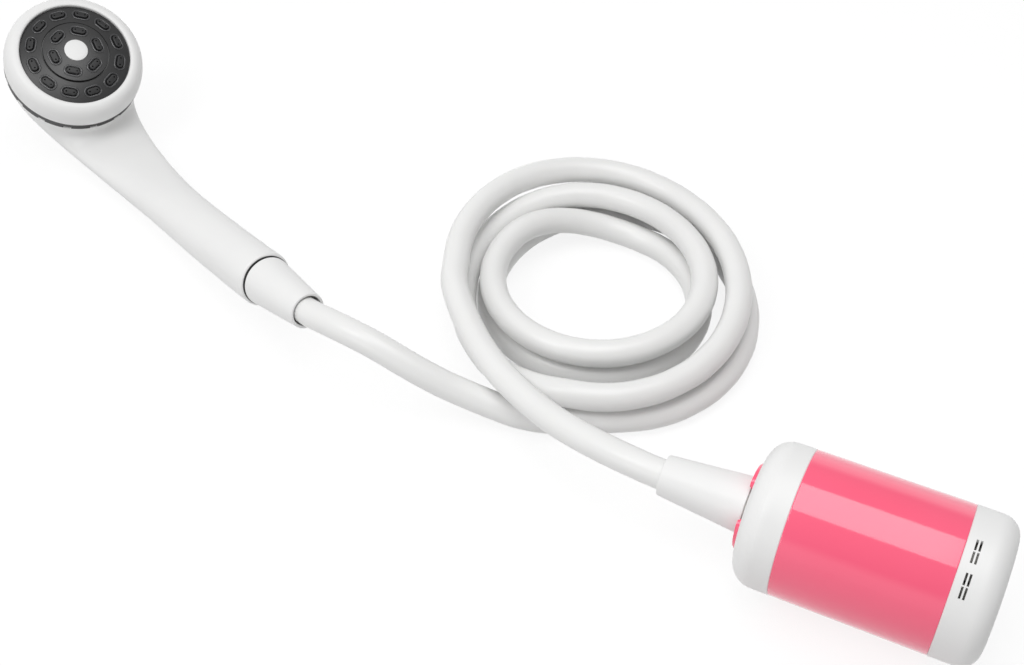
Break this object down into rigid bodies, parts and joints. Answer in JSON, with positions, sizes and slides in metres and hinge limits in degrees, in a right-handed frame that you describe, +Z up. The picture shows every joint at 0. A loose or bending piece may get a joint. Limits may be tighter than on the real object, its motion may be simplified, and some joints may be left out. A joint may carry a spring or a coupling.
{
  "type": "camp shower pump",
  "caption": "Cylindrical battery shower pump joined by a coiled white hose and conical nuts to a hand shower with a domed black spray face.",
  "frame": {"origin": "on the floor, under the middle of the box round the pump and the hand shower", "axes": "+X from the hand shower towards the pump, the longest way across; +Z up from the floor"},
  "size_m": [0.4581, 0.3816, 0.0756],
  "materials": {
    "white_plastic": "satin moulded plastic",
    "nut_plastic": "satin moulded plastic",
    "pink_plastic": "glossy moulded plastic",
    "black_plastic": "fine matt moulded plastic",
    "black_rubber": "moulded rubber",
    "hose": "soft satin vinyl",
    "inner_plastic": "moulded plastic",
    "dark_plastic": "moulded plastic",
    "steel": "plated steel",
    "cell_wrap": "shrink film over a steel can",
    "board": "glass fibre board with solder resist"
  },
  "bodies": {
    "pump": {"intake_cap": "white_plastic", "base_gasket": "black_rubber", "filter_screen": "inner_plastic", "volute": "inner_plastic", "shaft_seal": "black_rubber", "chassis": "dark_plastic", "chassis_seal": "black_rubber", "motor": "steel", "battery_cell": "cell_wrap", "riser_tube": "inner_plastic", "pump_sleeve": "pink_plastic", "top_gasket": "black_rubber", "circuit_board": "board", "power_switch": "dark_plastic", "charge_port": "steel", "board_screws": "steel", "outlet_spigot": "inner_plastic", "top_cap": "white_plastic", "pump_washer": "black_rubber", "pump_barb": "inner_plastic", "hose_pump_tail": "hose", "hose_pump_run": "hose", "hose_coil": "hose", "hose_head_run": "hose", "hose_head_tail": "hose", "head_barb": "inner_plastic", "head_washer": "black_rubber"},
    "rotor": {"impeller": "inner_plastic", "motor_shaft": "steel"},
    "power_button": {"power_button": "pink_plastic"},
    "charge_plug": {"charge_plug": "pink_plastic"},
    "pump_nut": {"pump_nut": "nut_plastic"},
    "head_nut": {"head_nut": "nut_plastic"},
    "shower_head": {"handle": "white_plastic", "handle_seal": "black_rubber", "rim_seal": "black_rubber", "face_bezel": "white_plastic", "spray_face": "black_plastic", "nozzle_pads": "black_rubber", "face_cap": "white_plastic"}
  },
  "joints": [
    {"name": "power_button_press", "type": "slide", "parent": "pump", "child": "power_button", "axis": [0.9003, -0.4352, 0], "range_m": [0, 0.0008], "stiffness_N_per_m": 1000},
    {"name": "charge_plug_pull", "type": "slide", "parent": "pump", "child": "charge_plug", "axis": [-0.9003, 0.4352, 0], "range_m": [0, 0.008]},
    {"name": "impeller_spin", "type": "hinge", "parent": "pump", "child": "rotor", "pos_m": [0.20253, -0.16778, 0.02758], "axis": [-0.9003, 0.4352, 0], "continuous": true},
    {"name": "pump_nut_turn", "type": "hinge", "parent": "pump", "child": "pump_nut", "pos_m": [0.11516, -0.11645, 0.03], "axis": [-0.9003, 0.4352, 0], "continuous": true},
    {"name": "head_swivel", "type": "hinge", "parent": "pump", "child": "shower_head", "pos_m": [-0.0774, 0.012, 0.02545], "axis": [0.6209, -0.7603, 0.1908], "continuous": true},
    {"name": "head_nut_turn", "type": "hinge", "parent": "shower_head", "child": "head_nut", "pos_m": [-0.06809, 0.0006, 0.02831], "axis": [0.6209, -0.7603, 0.1908], "continuous": true}
  ]
}
